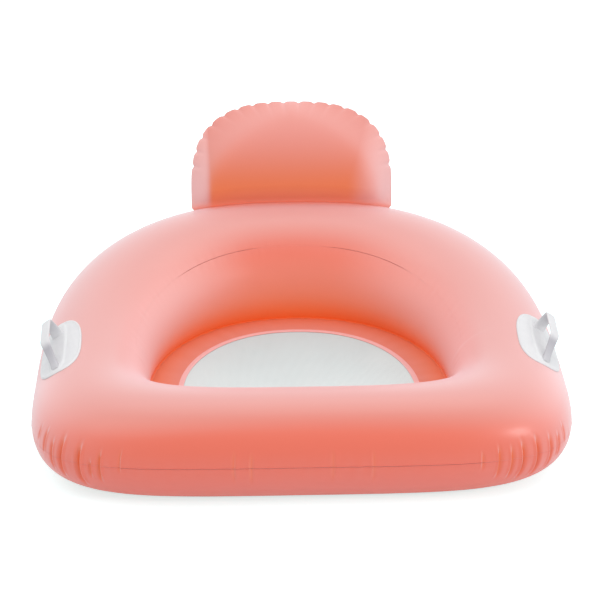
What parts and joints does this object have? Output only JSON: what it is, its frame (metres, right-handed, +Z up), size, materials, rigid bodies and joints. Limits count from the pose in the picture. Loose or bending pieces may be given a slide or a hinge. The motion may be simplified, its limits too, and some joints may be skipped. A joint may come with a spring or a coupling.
{
  "type": "inflatable pool chair",
  "caption": "Inflatable water chair: wide air ring with a mesh seat, a head pillow on the back, moulded grab handles at the sides and recessed air valves.",
  "frame": {"origin": "on the floor, under the middle of the ring's outline", "axes": "+X to the right in the picture, +Y towards the pillow at the back, +Z up"},
  "size_m": [1.194, 1.106, 0.5494],
  "materials": {
    "coral_film": "satin vinyl film with soft highlights",
    "pale_strip": "pale welded vinyl strip",
    "white_net": "fine white net",
    "white_moulding": "satin white moulded vinyl",
    "clear_moulding": "milky soft vinyl moulding"
  },
  "bodies": {
    "float": {"ring_top_panel": "coral_film", "ring_inner_wall": "coral_film", "ring_bottom_panel": "coral_film", "seat_border": "coral_film", "seat_weld_strip": "pale_strip", "seat_mesh": "white_net", "pillow_front_panel": "coral_film", "pillow_back_panel": "coral_film", "pillow_foot_strip": "coral_film", "handle_left": "white_moulding", "handle_right": "white_moulding", "ring_valve_flange": "clear_moulding", "pillow_valve_flange": "clear_moulding"},
    "ring_stem": {"ring_valve_stem": "clear_moulding"},
    "ring_plug": {"ring_valve_plug": "clear_moulding"},
    "ring_flap": {"ring_valve_flap": "clear_moulding"},
    "pillow_stem": {"pillow_valve_stem": "clear_moulding"},
    "pillow_plug": {"pillow_valve_plug": "clear_moulding"},
    "pillow_flap": {"pillow_valve_flap": "clear_moulding"}
  },
  "joints": [
    {"name": "ring_stem_slide", "type": "slide", "parent": "float", "child": "ring_stem", "axis": [-0.2771, 0.8391, 0.4681], "range_m": [0, 0.012]},
    {"name": "ring_plug_hinge", "type": "hinge", "parent": "ring_stem", "child": "ring_plug", "pos_m": [-0.23691, 0.50277, 0.22367], "axis": [0, 0.4872, -0.8733], "range_deg": [0, 110]},
    {"name": "ring_flap_hinge", "type": "hinge", "parent": "ring_stem", "child": "ring_flap", "pos_m": [-0.24614, 0.48186, 0.21201], "axis": [0, 0.4872, -0.8733], "range_deg": [0, 55]},
    {"name": "pillow_stem_slide", "type": "slide", "parent": "float", "child": "pillow_stem", "axis": [-0.0395, 0.9841, -0.1734], "range_m": [0, 0.012]},
    {"name": "pillow_plug_hinge", "type": "hinge", "parent": "pillow_stem", "child": "pillow_plug", "pos_m": [-0.06227, 0.53563, 0.38298], "axis": [0, -0.1735, -0.9848], "range_deg": [0, 110]},
    {"name": "pillow_flap_hinge", "type": "hinge", "parent": "pillow_stem", "child": "pillow_flap", "pos_m": [-0.07695, 0.5149, 0.38663], "axis": [0, -0.1735, -0.9848], "range_deg": [0, 55]}
  ]
}
